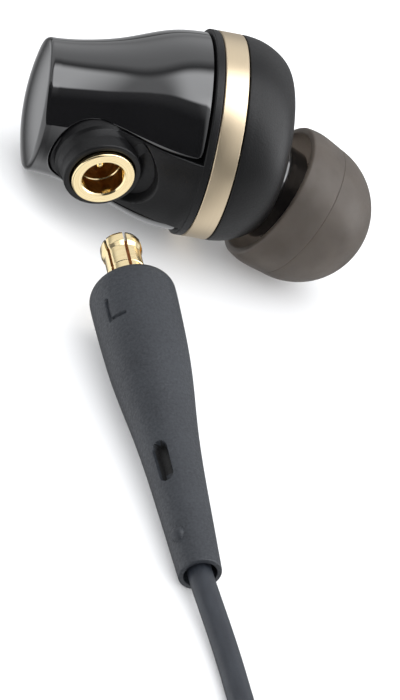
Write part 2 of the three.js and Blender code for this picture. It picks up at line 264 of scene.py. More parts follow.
def divided(points, step, sides=2, loop=False):
    """A line with points added about a step apart, as measured over its first sides."""
    points = np.array([*points, points[0]] if loop else points)
    made = [
        spot
        for a, b in zip(points, points[1:])
        for spot in np.linspace(a, b, 2 + int(np.linalg.norm((b - a)[:sides]) / step))[:-1]
    ]
    return np.array(made if loop else [*made, points[-1]])


def headings(points):
    """Unit vectors along a closed row of points."""
    along = np.roll(points, -1, axis=0) - np.roll(points, 1, axis=0)
    return along / np.linalg.norm(along, axis=1)[:, None]


def mesh_of(name, skins, sharp=35):
    """A mesh of closed skins, each (grid of rows of points, whether the last row joins the first)."""
    points, faces, start = [], [], 0
    for grid, loop in skins:
        rows, columns = grid.shape[:2]
        row = np.arange(rows if loop else rows - 1)[:, None] * columns
        column, beside = np.arange(columns), (np.arange(columns) + 1) % columns
        below = (row + columns) % (rows * columns)
        corners = row + column, row + beside, below + beside, below + column
        quads = np.stack(np.broadcast_arrays(*corners), axis=2)
        faces.extend((quads.reshape(-1, 4) + start).tolist())
        points.extend((grid.reshape(-1, 3) * MM).tolist())
        start += rows * columns
    mesh = bpy.data.meshes.new(name)
    mesh.from_pydata(points, [], faces)
    finish_mesh(mesh, sharp)
    return mesh


def finish_mesh(mesh, sharp=35):
    """Joins points that fall together, faces everything out and shades it smooth up to an angle."""
    work = bmesh.new()
    work.from_mesh(mesh)
    bmesh.ops.remove_doubles(work, verts=work.verts, dist=1e-8)
    bmesh.ops.dissolve_degenerate(work, dist=1e-9, edges=work.edges)
    bmesh.ops.recalc_face_normals(work, faces=work.faces)
    work.to_mesh(mesh)
    work.free()
    mesh.shade_smooth()
    mesh.set_sharp_from_angle(angle=math.radians(sharp))


def piece(name, mesh, place, look, body, nodes, even=True):
    """Puts a mesh in place as a piece of the object that rides on a body and stands for CAD nodes.

    A look is a material and its slot; the slot is not used. Each point keeps its place in the local frame, and
    the way round the frame's axis, for turned metal.
    """
    material, slot = look
    spots = np.array([vertex.co for vertex in mesh.vertices])
    ways = np.cross((0, 0, 1), spots) @ np.array(place.to_3x3()).T
    for label, vectors in (("local_place", spots), ("way_round", ways)):
        mesh.attributes.new(label, "FLOAT_VECTOR", "POINT").data.foreach_set("vector", vectors.ravel())
    mesh.transform(place)
    mesh.materials.append(material)
    made = bpy.data.objects.new(name, mesh)
    SCENE.collection.objects.link(made)
    if even:
        modifier = made.modifiers.new("even_normals", "WEIGHTED_NORMAL")
        modifier.keep_sharp = True
    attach(made, body)
    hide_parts(*nodes)
    return made


def round_piece(name, outline, place, look, body, nodes, loop=True, sides=128):
    """A piece turned about its frame's axis. A loop is a ring; otherwise both ends are on the axis."""
    mesh = mesh_of(name, [(round_grid(outline, sides), loop)])
    return piece(name, mesh, place, look, body, nodes)


def combine(target, tool, operation):
    """Cuts or joins a mesh with another, both in the same frame, and returns the outcome."""
    holder, other = bpy.data.objects.new("holder", target), bpy.data.objects.new("other", tool)
    for o in (holder, other):
        SCENE.collection.objects.link(o)
    modifier = holder.modifiers.new("cut", "BOOLEAN")
    modifier.operation, modifier.solver, modifier.object = operation, "EXACT", other
    ready = holder.evaluated_get(bpy.context.evaluated_depsgraph_get())
    made = bpy.data.meshes.new_from_object(ready)
    for o in (holder, other):
        bpy.data.objects.remove(o)
    finish_mesh(made)
    return made


# ---- Rear end: the glossy cover, and the matte housing in its cut-out ----

COVER_FRONT = -1.8
COVER_BACK = -13.4
COVER_RIM = 5.28
COVER_RIM_FILLET = 0.42
COVER_WALL = 0.6
CAP_RADIUS = 4.6
DOME_RADIUS = 18.0
DOME_CENTRE = 3.1
CUTOUT_HALF = 3.75
CUTOUT_GAP = 0.12
CUTOUT_CORNER = 0.55
EDGE = 0.1
COVER_SCALE = 7.0

flank = smooth_curve(
    [
        (-13.6, 5.28),
        (-12.4, 5.39),
        (-10.4, 5.72),
        (-8, 6.35),
        (-5.6, 7.24),
        (-4.4, 7.6),
        (-3.2, 7.8),
        (-1.7, 7.9),
    ]
)


def to_housing(u, v, height):
    """A point over the plane across the socket's axis, in the housing's frame. +u is towards the cap."""
    sin, cos = math.sin(SOCKET_TURN), math.cos(SOCKET_TURN)
    return u * cos + height * sin, v, height * cos - u * sin - SOCKET_BEHIND


def skin_height(u, v, radius_at):
    """How high over that plane the skin of a given radius lies, found by stepping towards it."""
    sin, cos = math.sin(SOCKET_TURN), math.cos(SOCKET_TURN)
    height = np.full(np.shape(u), 6.0)
    for _ in range(12):
        along = to_housing(u, v, height)[2]
        height = (np.sqrt(radius_at(along) ** 2 - v**2) - u * cos) / sin
    return height


def lip_u(v, along, radius):
    """Where the skin's circle at a place along the housing meets a line of the plane across the socket."""
    return np.sqrt(radius**2 - v**2) * math.cos(SOCKET_TURN) - (along + SOCKET_BEHIND) * math.sin(SOCKET_TURN)


def round_corner(line, index, reach):
    """A line of points with one corner eased over a reach to each side."""
    along = lengths(line)
    at = along[index]
    start, end = (np.array([np.interp(at + way * reach, along, side) for side in line.T]) for way in (-1, 1))
    share = np.linspace(0, 1, 9)[:, None]
    eased = (1 - share) ** 2 * start + 2 * share * (1 - share) * line[index] + share**2 * end
    return np.concatenate([line[along < at - reach], eased, line[along > at + reach]])


def cover_edge():
    """Half of the cover's front edge: half of the U, its corner and half of the lip.

    Its points are (turn x COVER_SCALE, along). The second result is the length of the U's round end.
    """
    half = CUTOUT_HALF + EDGE
    front = COVER_FRONT - EDGE
    swing = np.linspace(0, math.pi / 2, 60)
    straight = np.linspace(0, lip_u(half, front, flank(front)), 80)[1:]
    u = np.concatenate([half * np.cos(swing), straight])
    v = np.concatenate([half * np.sin(swing), np.full(len(straight), half)])
    x, y, z = to_housing(u, v, skin_height(u, v, flank))
    turn = np.arctan2(y, x)
    lip = np.linspace(turn[-1], math.pi, 120)[1:]
    turns = np.append(turn, lip) * COVER_SCALE
    line = np.stack([turns, np.append(z, np.full(len(lip), front))], axis=1)
    return round_corner(line, len(u) - 1, CUTOUT_CORNER), lengths(line)[len(swing) - 1]


def mirrored(half):
    """A grid for half a turn, from the middle plane round to it again, with its other half added."""
    other = half[:, -2:0:-1] * np.array([1, -1, 1])
    return np.concatenate([half, other], axis=1)


def rolled_edge(skin, profile, radius, last=math.inf):
    """Rows that roll a skin's edge over inwards, and the ways past the edge and out of the skin.

    Points of the edge beyond a last place along the housing don't roll.
    """
    brink, before = skin[-1], skin[-2]
    x, y, z = brink.T
    slope = (profile(z + 0.01) - profile(z - 0.01)) / 0.02
    normal = np.stack([x / np.hypot(x, y), y / np.hypot(x, y), -slope], axis=1)
    normal /= np.linalg.norm(normal, axis=1)[:, None]
    past = np.cross(headings(brink), normal)
    past *= np.sign(np.einsum("ij,ij->i", past, brink - before))[:, None]
    past[z > last] *= 0
    roll = [
        (brink + radius * (math.sin(a) * past - (1 - math.cos(a)) * normal))[None]
        for a in np.radians(np.linspace(0, 90, 8)[1:])
    ]
    return roll, past, normal


def add_rear_cover(look):
    line, u_end = cover_edge()
    at = lengths(line)
    corner = at[np.argmax(line[:, 1] > COVER_FRONT - EDGE - 1e-6)]
    spots = np.concatenate([np.linspace(0, corner + 0.3, 92), np.linspace(corner + 0.3, at[-1], 64)[1:]])
    edge_turn = np.interp(spots, at, line[:, 0]) / COVER_SCALE
    edge_along = np.interp(spots, at, line[:, 1])
    back_turn = np.interp(spots, [0, u_end, corner, at[-1]], [0, 0.8, 1.9, math.pi])

    def turned_rows(turn, radius, along):
        sides = radius * np.cos(turn), radius * np.sin(turn), along
        return mirrored(np.stack(np.broadcast_arrays(*sides), axis=2))

    def across(shares, inset):
        share = np.array(shares)[:, None]
        turn = (1 - share) * back_turn + share * edge_turn
        along = (1 - share) * COVER_BACK + share * edge_along
        return turned_rows(turn, flank(along) - inset, along)

    def cap(outline):
        along, radius = (side[:, None] for side in np.array(outline).T)
        return turned_rows(back_turn[None, :], radius, along)

    def on_dome(radius, *fillet):
        return DOME_CENTRE - math.sqrt(DOME_RADIUS**2 - radius**2), radius, *fillet

    rim_corners = (COVER_BACK, flank(COVER_BACK)), on_dome(COVER_RIM, COVER_RIM_FILLET), on_dome(CAP_RADIUS)
    rim = rounded(rim_corners, step=6)
    dome_edge = math.degrees(math.asin(rim[-2][1] / DOME_RADIUS))
    dome = arc(DOME_RADIUS, 180, 180 - dome_edge, 26, DOME_CENTRE)
    inner_dome = arc(DOME_RADIUS - COVER_WALL, 180, 180 - dome_edge + 2.5, 6, DOME_CENTRE)

    outer = across(np.linspace(0, 1, 38), 0)
    roll, past, normal = rolled_edge(outer, flank, EDGE)
    wall = [(outer[-1] + EDGE * past - depth * normal)[None] for depth in (0.4, COVER_WALL)]
    inner = across([0.96, 0.75, 0.4, 0], COVER_WALL)
    side = [outer, *roll, *wall, inner]
    grid = np.concatenate([cap(dome), cap(rim[1:-1][::-1]), *side, cap(inner_dome[::-1])])
    mesh = mesh_of("rear_cover_shell", [(grid, False)], sharp=50)
    piece("rear_cover_shell", mesh, REAR, look, "earphone", ["rear_cover"], even=False)


BOSS_RADIUS, BOSS_TOP, BOSS_FOOT = 3.05, 7.32, 2.5
BORE_RADIUS = 2.57
POCKET_RADIUS, POCKET_FLOOR, POCKET_EASE = 4.1, 6.3, 0.3
LIP_RADIUS, LIP_BACK, LIP_FRONT = 8.2, -1.65, -1.02
PAD_EDGE = 0.14
PAD_DEPTH = 1.9
PAD_HOLE = 2.4

pad_profile = smooth_curve(
    [
        (-13.2, 5.24),
        (-12, 5.33),
        (-10.4, 5.62),
        (-8, 6.25),
        (-5.6, 7.14),
        (-4.2, 7.6),
        (-3, 7.9),
        (-1.9, 8.15),
        (-1, 8.215),
    ]
)


def pad_outline():
    """Half of the U-shaped pad's rounded outline as (u, v), from the cap's side to the lip."""
    half = CUTOUT_HALF - CUTOUT_GAP - PAD_EDGE
    front = LIP_FRONT - 0.02
    radius = pad_profile(front)
    swing = np.linspace(0, math.pi / 2, 40)
    straight = np.linspace(0, lip_u(half, front, radius), 60)[1:]
    across = half * np.cos(np.linspace(0, math.pi / 2, 16))[1:]
    u = np.concatenate([half * np.cos(swing), straight, lip_u(across, front, radius)])
    v = np.concatenate([half * np.sin(swing), np.full(len(straight), half), across])
    return u, v


def pad_mesh():
    """The U-shaped pad, its surface easing down into the pocket round the socket."""
    u, v = pad_outline()
    reach = np.hypot(u, v)
    pocket_v = math.sin(math.radians(-CUTOUT_ROLL)) * pad_profile(-SOCKET_BEHIND)

    def height_at(u, v):
        skin = skin_height(u, v, pad_profile)
        rise = np.clip((np.hypot(u, v - pocket_v) - POCKET_RADIUS) / POCKET_EASE + 0.5, 0, 1)
        return skin + (np.minimum(skin, POCKET_FLOOR) - skin) * (1 - rise**2 * (3 - 2 * rise))

    def row(radius):
        row_u, row_v = (np.concatenate([side, sign * side[-2:0:-1]]) for side, sign in ((u, 1), (v, -1)))
        share = np.concatenate([radius / reach, (radius / reach)[-2:0:-1]])
        row_u, row_v = row_u * share, row_v * share
        return np.stack(to_housing(row_u, row_v, height_at(row_u, row_v)), axis=1)[None]

    eased = np.minimum(POCKET_RADIUS + 0.7, PAD_HOLE + 0.9 * (reach - PAD_HOLE))
    shares = np.append(np.linspace(0, 0.45, 6), np.linspace(0.5, 1, 26))
    radii = [PAD_HOLE + share * (eased - PAD_HOLE) for share in shares]
    radii += [eased + share * (reach - eased) for share in np.linspace(0, 1, 20)[1:]]
    skin = np.concatenate([row(radius) for radius in radii])
    roll, past, normal = rolled_edge(skin, pad_profile, PAD_EDGE, LIP_FRONT - 0.1)
    skirt = skin[-1] + PAD_EDGE * past - PAD_DEPTH * normal
    foot_u, foot_v = u * PAD_HOLE / reach, v * PAD_HOLE / reach
    foot = np.stack(to_housing(foot_u, foot_v, np.full(len(u), BOSS_FOOT)), axis=1)
    return mesh_of("pad", [(np.concatenate([mirrored(foot[None]), skin, *roll, skirt[None]]), True)])


def add_rear_housing(look):
    inset, wall = 0.9, 0.5
    back = COVER_BACK + 0.2
    side = np.linspace(back, -1.85, 24)
    outer = [(along, flank(along) - inset) for along in side]
    inner = [(along, flank(along) - inset - wall) for along in side[::-1]]
    flange = (LIP_BACK, 6.85), (LIP_BACK, LIP_RADIUS, 0.12), (LIP_FRONT, LIP_RADIUS, 0.07), (LIP_FRONT, 6.3)
    lip = rounded([outer[-1], *flange])[1:]
    outline = [(-13.9, 0), (back - 0.35, 4.0), *outer, *lip, *inner, (back, 3.6), (-13.35, 0)]
    tub = mesh_of("tub", [(round_grid(outline, 160), False)])
    tub = combine(tub, pad_mesh(), "UNION")

    socket = turned(-CUTOUT_ROLL, "Z") @ moved(0, 0, -SOCKET_BEHIND) @ Matrix.Rotation(SOCKET_TURN, 4, "Y")

    def along_socket(name, outline, sides, loop):
        mesh = mesh_of(name, [(round_grid(outline, sides), loop)])
        mesh.transform(socket)
        return mesh

    drill = 2.9
    bore = along_socket("bore", [(0, 0), (0, drill), (12, drill), (12, 0)], 96, False)
    foot = [(5.3, BOSS_RADIUS + 0.35, 0.02), (5.5, BOSS_RADIUS + 0.14, 0.1), (6.1, BOSS_RADIUS, 0.3)]
    top = [(BOSS_TOP, BOSS_RADIUS, 0.16), (BOSS_TOP, BORE_RADIUS, 0.08), (BOSS_FOOT, BORE_RADIUS)]
    boss = rounded([(BOSS_FOOT, BOSS_RADIUS + 0.35), *foot, *top])
    shell = combine(combine(tub, bore, "DIFFERENCE"), along_socket("boss", boss, 192, True), "UNION")
    shell.name = "rear_housing_shell"
    piece("rear_housing_shell", shell, REAR, look, "earphone", ["rear_housing"])


# ---- Front end: trim ring, front housing, nozzle and ear tip ----


def add_trim_ring(look):
    radius, bore, half, chamfer = 8.2, 7.0, 0.96, 0.08
    side = [(half - chamfer, radius, 0.03), (half, radius - chamfer, 0.03), (half, bore)]
    outline = rounded([*[(-along, *rest) for along, *rest in reversed(side)], *side], step=20)
    round_piece("trim_ring_band", outline, HOUSING, look, "earphone", ["trim_ring"], sides=256)


def add_front_housing(look):
    back, wall = 1.02, 0.8
    shoulder = (1.4, 8.19)
    knots = (2.2, 8.08), (3.8, 7.45), (4.9, 6.5), (5.5, 5.0), (5.72, 2.6), (5.75, 0)
    side = smooth_line([shoulder, *knots], 60)
    start = rounded([(back, 7.2), (back, 8.195, 0.08), shoulder])
    hollow = smooth_line([(4.95, 0), (4.9, 2.6), (4.68, 4.6), (4.1, 5.9), (3.2, 6.7), (back, 7.2)], 24)
    shell = mesh_of("front", [(round_grid([*side[::-1], *start[::-1], *hollow[-2::-1]], 192), False)])
    hole = mesh_of("hole", [(round_grid([(-7, 0), (-7, 4.03), (6, 4.03), (6, 0)], 128), False)])
    hole.transform(HOUSING.inverted() @ NOZZLE)
    shell = combine(shell, hole, "DIFFERENCE")
    piece("front_housing_shell", shell, HOUSING, look, "earphone", ["front_housing"])


def add_nozzle(look):
    outline = rounded(
        [
            (-5.2, 1.9),
            (-5.2, 3.9, 0.1),
            (-2.0, 3.9, 0.35),
            (-2.0, 2.5, 0.15),
            (2.3, 2.5, 0.1),
            (2.55, 2.66, 0.08),
            (3.0, 2.66, 0.15),
            (3.3, 2.4, 0.08),
            (3.3, 1.9, 0.05),
        ],
        loop=True,
    )
    round_piece("nozzle_tube", outline, NOZZLE, look, "earphone", ["nozzle"])


def add_nozzle_mesh(look):
    """A woven disc of fine wire in a thin rim, across the nozzle's bore."""
    reach, wire, pitch, place = 1.8, 0.035, 0.24, 2.9
    round_wire = np.linspace(0, 2 * math.pi, 6, endpoint=False)
    skins = []
    count = int(reach / pitch)
    for way in (0, 1):
        for k in range(-count, count + 1):
            off = k * pitch
            half = math.sqrt(reach**2 - off**2)
            at = np.linspace(-half, half, max(5, round(half * 2 / pitch * 6)))
            over = wire * np.cos(math.pi * at / pitch + math.pi * (k + way))
            rows = []
            for s, z in zip(at, over):
                across, up = off + wire * np.cos(round_wire), place + z + wire * np.sin(round_wire)
                sides = [np.full(6, s), across] if way == 0 else [across, np.full(6, s)]
                rows.append(np.stack([*sides, up], axis=1))
            tips = [np.repeat(row.mean(axis=0)[None], 6, axis=0) for row in (rows[0], rows[-1])]
            skins.append((np.stack([tips[0], *rows, tips[1]]), False))
    rim = band(place - 0.1, place + 0.1, 1.68, 1.82, 0.04, 0.04)
    skins.append((round_grid(rim, 48), True))
    mesh = mesh_of("nozzle_mesh_weave", skins)
    piece("nozzle_mesh_weave", mesh, NOZZLE, look, "earphone", ["nozzle_mesh"])


def add_ear_tip(look):
    radius, wall = 5.85, 0.55
    mouth = math.degrees(math.asin(2.2 / radius))
    root = math.degrees(math.asin(3.5 / (radius - wall)))
    start = rounded([(3.95, 1.95), (5.42, 1.95, 0.18), (5.5, 2.25)])
    parting = [(0.1, radius), (0.06, radius - 0.035), (0.02, radius - 0.035), (-0.02, radius + 0.015)]
    skirt = smooth_line([(-0.1, 5.88), (-1.0, 5.97), (-1.9, 6.0), (-2.6, 5.9)], 16)
    outside = [*arc(radius, mouth + 1.5, 88.9, 40), *parting, *skirt]
    rim = rounded([skirt[-1], (-3.0, 5.8, 0.22), (-3.0, 5.25, 0.18), (-2.4, 5.2, 0.2), (-0.6, 5.28)])
    inside = arc(radius - wall, 90, root + 4, 20)
    core = (4.05, 3.5, 0.3), (-1.8, 3.5, 0.2), (-1.8, 2.75, 0.15), (3.6, 2.75, 0.15), (3.6, 1.95, 0.1)
    core = rounded([inside[-1], *core, (3.95, 1.95)])
    outline = [*start[:-1], *outside, *rim[1:-1], *inside, *core[1:-1]]
    round_piece("ear_tip_silicone", outline, NOZZLE, look, "ear_tip", ["ear_tip"], sides=160)


# ---- Socket ----


def add_socket(gold, insulator):
    face, inner, radius, bore, chamfer = 7.72, 1.6, 2.48, 1.62, 0.12
    barrel = [
        (inner, bore),
        (inner, radius, 0.05),
        (face, radius, 0.13),
        (face, bore + chamfer, 0.03),
        (face - chamfer, bore, 0.03),
        (face - 1.5, bore, 0.02),
        (face - 1.56, bore + 0.07, 0.02),
        (face - 1.76, bore + 0.07, 0.02),
        (face - 1.82, bore, 0.02),
    ]
    round_piece("socket_sleeve", rounded(barrel, loop=True), EARPHONE, gold, "earphone", ["socket_barrel"])
    face = (2.7, 1.55, 0.08), (2.7, 1.0, 0.04), (2.5, 0.9, 0.04), (2.5, 0.37)
    washer = rounded([(1.7, 0.37), (1.7, 1.55, 0.05), *face], loop=True)
    round_piece("socket_washer", washer, EARPHONE, insulator, "earphone", ["socket_insulator"])
    pin = [(0.6, 0), (0.6, 0.3, 0.05), (6.2, 0.3, 0.22), (6.2, 0)]
    pin = rounded(pin)
    round_piece("socket_centre_pin", pin, EARPHONE, gold, "earphone", ["socket_pin"], loop=False, sides=32)


# ---- Plug and sleeve ----

PLUG_TIP = 15.12
SLEEVE_TOP = 19.92


def add_plug(gold, insulator):
    outline = [
        (0.22, 1.08, 0.08),
        (0, 1.25, 0.05),
        (0, 1.44, 0.12),
        (0.3, 1.57, 0.25),
        (0.95, 1.57, 0.35),
        (1.35, 1.41, 0.25),
        (2.9, 1.41, 0.01),
        (2.94, 1.37, 0.01),
        (3.02, 1.37, 0.01),
        (3.06, 1.41, 0.01),
        (9.4, 1.41, 0.1),
        (9.4, 1.08),
    ]
    collet = mesh_of("collet", [(round_grid(at_distance(rounded(outline, loop=True), PLUG_TIP), 144), True)])
    half_slot, reach, start, end = 0.13, 2.2, 14, 19.7
    box = np.array([(-1, -1), (1, -1), (1, 1), (-1, 1)]) * (half_slot, reach)
    stops = (start, 0), (start, 1), (end, 1), (end, 0)
    blade = np.stack([np.column_stack([box * size, np.full(4, z)]) for z, size in stops])
    for cut in range(3):
        saw = mesh_of("saw", [(blade, False)])
        saw.transform(turned(60 * cut + 20, "Z"))
        collet = combine(collet, saw, "DIFFERENCE")
    piece("plug_collet_fingers", collet, LEAD, gold, "plug", ["plug_collet"])
    core = rounded([(0.45, 0.66, 0.05), (0.45, 1.0, 0.05), (9.35, 1.0), (9.35, 0.66)], loop=True)
    core = at_distance(core, PLUG_TIP)
    round_piece("plug_insulating_core", core, LEAD, insulator, "plug", ["plug_insulator"])
    cup = rounded([(0.37, 0.4, 0.06), (0.37, 0.61, 0.06), (9.35, 0.61), (9.35, 0.4)], loop=True)
    cup = at_distance(cup, PLUG_TIP)
    round_piece("plug_centre_contact", cup, LEAD, gold, "plug", ["plug_contact"])


sleeve_radius = smooth_curve(
    [
        (0.5, 3.26),
        (1.2, 3.28),
        (2.3, 3.27),
        (4.9, 3.2),
        (8.8, 3.0),
        (15.2, 2.33),
        (19.2, 2.03),
        (23.6, 1.8),
        (28.2, 1.57),
    ]
)


def sleeve_relief(along, turn):
    """How far the surface is pushed in: the window and the side mark go in, and the button stands out."""

    def off_segment(start, end, radius):
        """The distance from a straight stroke between two (along, degrees) points."""
        a, b = (np.array([p[0], math.radians(p[1]) * radius]) for p in (start, end))
        here = np.stack(np.broadcast_arrays(along, turn * radius), axis=-1)
        share = np.clip((here - a) @ (b - a) / ((b - a) @ (b - a)), 0, 1)
        return np.linalg.norm(here - a - share[..., None] * (b - a), axis=-1)

    def sunk(distance, reach, depth, edge):
        return depth * np.clip((reach - distance) / edge + 0.5, 0, 1)

    window = sunk(off_segment((17.75, 149.5), (20.15, 149.5), 2.05), reach=0.54, depth=0.75, edge=0.07)
    mark = np.minimum(
        off_segment((3.0, 166.5), (4.95, 167.5), 3.22),
        off_segment((4.95, 167.5), (5.0, 144.5), 3.22),
    )
    button_radius, button_height = 0.56, 0.3
    off_button = off_segment((25.5, 161.5), (25.51, 161.5), 1.7) / button_radius
    button = np.clip(1 - off_button**2, 0, 1) ** 0.4 * button_height
    return window + sunk(mark, reach=0.14, depth=0.22, edge=0.06) - button


def fine_steps(start, end, coarse, zones):
    """Places from start to end a coarse step apart, and closer within zones of (from, to, step)."""
    places = [start]
    while places[-1] < end - 1e-6:
        here = places[-1]
        step = min([fine for low, high, fine in zones if low <= here < high], default=coarse)
        stops = [low for low, _, _ in zones if low > here + 1e-6] + [end]
        places.append(min(here + step, *stops))
    return np.array(places)


def add_sleeve(rubber, dark):
    first, last = 1.25, 28.1
    window = 16.9, 21
    side = fine_steps(first, last, 0.35, [(2.7, 5.3, 0.055), (*window, 0.08), (24.8, 26.2, 0.06)])
    turn = np.radians(fine_steps(0, 360, 3, [(128, 184, 0.8)])[:-1])
    top = rounded([(0, 1.95), (0, 3.27, 1.0), (first, float(sleeve_radius(first)))], step=6)
    end = rounded([(last, float(sleeve_radius(last))), (28.4, 1.56, 0.12), (28.4, 1.2, 0.06), (27.4, 1.2)])
    inner = [(7, 1.2), (7, 1.95), (0.1, 1.95)]
    outline = np.array([*top[1:-1], *[(s, sleeve_radius(s)) for s in side], *end[1:], *inner])
    along, radius = outline[:, :1], outline[:, 1:]
    shown = (along >= first) & (along <= last) & (radius > 1.5)
    out = radius - np.where(shown, sleeve_relief(along, turn[None, :]), 0)
    up = np.broadcast_to(along + SLEEVE_TOP, out.shape)
    grid = np.stack([out * np.cos(turn), out * np.sin(turn), up], axis=2)
    mesh = mesh_of("sleeve_body", [(grid, True)], sharp=32)
    # Faces deep in the window take the second, near-black material: painted shade in the recess, darker than the
    # rubber.
    for face in mesh.polygons:
        x, y, z = face.center / MM
        at, deep = z - SLEEVE_TOP, math.hypot(x, y)
        if window[0] < at < window[1] and 1.25 < deep < sleeve_radius(at) - 0.3:
            face.material_index = 1
    piece("sleeve_body", mesh, LEAD, rubber, "lead", ["sleeve"])
    mesh.materials.append(dark)


# ---- Plug of the lead, and the tie round its coil ----

JACK = moved(-9.45, -78.2, 3.2) @ turned(90, "X")


def add_contact(name, outline, look, node):
    return round_piece(name, outline, JACK, look, "lead", [node], loop=False, sides=64)


def add_jack(rubber, shell, gold, insulator):
    ribs = []
    for k in range(6):
        start = 0.5 + 1.2 * k
        width = 1.45 + 0.85 * start / 7.8
        rib = (0, -0.22, 0.05), (0.12, 0, 0.12), (0.85, 0.09, 0.12), (0.95, -0.15, 0.05)
        ribs += [(start + along, width + out, fillet) for along, out, fillet in rib]
    relief = rounded([(0, 0), (0, 1.3, 0.2), *ribs, (7.8, 2.2, 0.1), (7.8, 0)])
    parts = [round_piece("jack_relief_ribbed", relief, JACK, rubber, "lead", ["jack_relief"], loop=False)]

    outline = rounded(
        [
            (7.85, 0),
            (7.85, 2.6, 0.2),
            (8.4, 3.18, 0.3),
            (10.6, 3.18, 0.05),
            (10.7, 3.05, 0.05),
            (11.1, 3.05, 0.05),
            (11.2, 3.18, 0.05),
            (22.3, 3.18, 0.3),
            (22.85, 2.7, 0.1),
            (22.85, 1.85, 0.05),
            (21.65, 1.85),
            (21.65, 0),
        ]
    )
    outline = divided(outline, 0.25, sides=1)
    sides, ridges, depth = 240, 40, 0.025
    grid = round_grid(outline, sides)
    turn = np.linspace(0, 2 * math.pi, sides, endpoint=False)
    knurl = np.clip(np.minimum(outline[:, 0] - 12.2, 20.4 - outline[:, 0]) / 0.4, 0, 1) * (outline[:, 1] > 3)
    grid[:, :, :2] *= (1 - depth * knurl[:, None] * (0.5 + 0.5 * np.cos(ridges * turn)))[:, :, None]
    mesh = mesh_of("jack_barrel_knurled", [(grid, False)])
    parts.append(piece("jack_barrel_knurled", mesh, JACK, shell, "lead", ["jack_barrel"]))

    start = 21.7
    stack = {"sleeve_contact": 8.8, "ring_insulator": 0.6, "ring_contact": 1.9, "tip_insulator": 0.6}
    for name, length in stack.items():
        look = insulator if "insulator" in name else gold
        drum = disc(start, start + length, 1.75, 0.06)
        parts.append(add_contact(f"jack_{name}_band", drum, look, f"jack_{name}"))
        start += length + 0.05
    end = 36.85
    neck = (start, 0), (start, 1.72, 0.05), (start + 0.25, 1.72, 0.1), (start + 0.75, 1.3, 0.4)
    tip = rounded([*neck, (end - 1.65, 1.72, 0.5), (end, 0.75, 0.5), (end, 0)])
    return [*parts, add_contact("jack_tip_contact_bead", tip, gold, "jack_tip_contact")]


def add_tie(look):
    """A strap four millimetres wide that goes once round the coil's bundle."""
    middle_x, middle_y = 16.2, -62.8
    half, low, high, thin, wide, fillet = 5.75, 0.25, 8.55, 0.24, 2, 0.12
    path = rounded([(low, -half, 1.6), (low, half, 1.6), (high, half, 1.6), (high, -half, 1.6)], loop=True)
    path = divided(path, 0.2, loop=True)
    ahead = headings(path)
    side = np.stack([ahead[:, 1], -ahead[:, 0]], axis=1)
    corners = (-thin, -wide, fillet), (thin, -wide, fillet), (thin, wide, fillet), (-thin, wide, fillet)
    section = rounded(corners, loop=True, step=30)
    rows = []
    for k, ((z, x), (side_z, side_x)) in enumerate(zip(path, side)):
        thick = section[:, 0] * (0.82 if k % 4 < 2 else 1.0)
        across = middle_x + x + thick * side_x
        rows.append(np.stack([across, middle_y + section[:, 1], z + thick * side_z], axis=1))
    mesh = mesh_of("cable_tie_strap", [(np.stack(rows), True)], sharp=60)
    return piece("cable_tie_strap", mesh, ROW, look, "lead", ["cable_tie"])


# ---- Driver and wiring inside the housing ----


def add_driver(looks):
    """The dynamic driver's turned pieces, from its frame to the board behind it."""
    plastic, film, copper, steel = (looks[name] for name in ("insulator", "film", "copper", "steel"))
    frame_outside = (-3, 3.78), (-3, 4.4, 0.2), (-1.5, 5.88, 0.3), (0.48, 5.88, 0.1), (0.48, 5.52, 0.05)
    frame_step = (-0.38, 5.52, 0.05), (-0.38, 5.12, 0.05)
    frame_seat = *frame_step, (-1.1, 5.12, 0.2), (-2.3, 4.22, 0.2), (-2.3, 3.78)
    dome = smooth_line([(0.22, 0), (0.17, 0.9), (-0.05, 1.75), (-0.52, 2.78)], 24)
    surround = smooth_line([(-0.46, 2.88), (-0.2, 3.5), (-0.1, 4.3), (-0.24, 5.1), (-0.3, 5.42)], 24)
    sheet = np.concatenate([dome, surround])
    skin = sheet + np.array([0.12, 0])
    turns = [(along, 2.88 - 0.045 * (k % 2)) for k, along in enumerate(np.arange(-2.55, -0.7, 0.06))]
    pot = (-4.19, 0), (-4.19, 3.63, 0.25), (-1.61, 3.63, 0.08), (-1.61, 3.07, 0.08)
    pot_floor = (-3.74, 3.07, 0.1), (-3.74, 0)
    parts = {
        "driver_frame": (rounded([*frame_outside, *frame_seat], loop=True), plastic, True),
        "diaphragm": ([*sheet, *skin[::-1]], film, False),
        "voice_coil": ([(-2.6, 2.72), *turns, (-0.66, 2.72)], copper, True),
        "pole_plate": (disc(-2.19, -1.62, 2.58, 0.08), steel, False),
        "magnet": (disc(-3.69, -2.26, 2.58, 0.15), steel, False),
        "yoke": (rounded([*pot, *pot_floor]), steel, False),
        "driver_gasket": (band(0.56, 0.98, 5.32, 6.58, 0.1, 0.1), looks["foam"], True),
        "terminal_board": (disc(-4.89, -4.31, 2.98, 0.08), looks["board"], False),
    }
    for name, (outline, look, loop) in parts.items():
        round_piece(f"{name}_turned", outline, HOUSING, look, "earphone", [name], loop=loop)


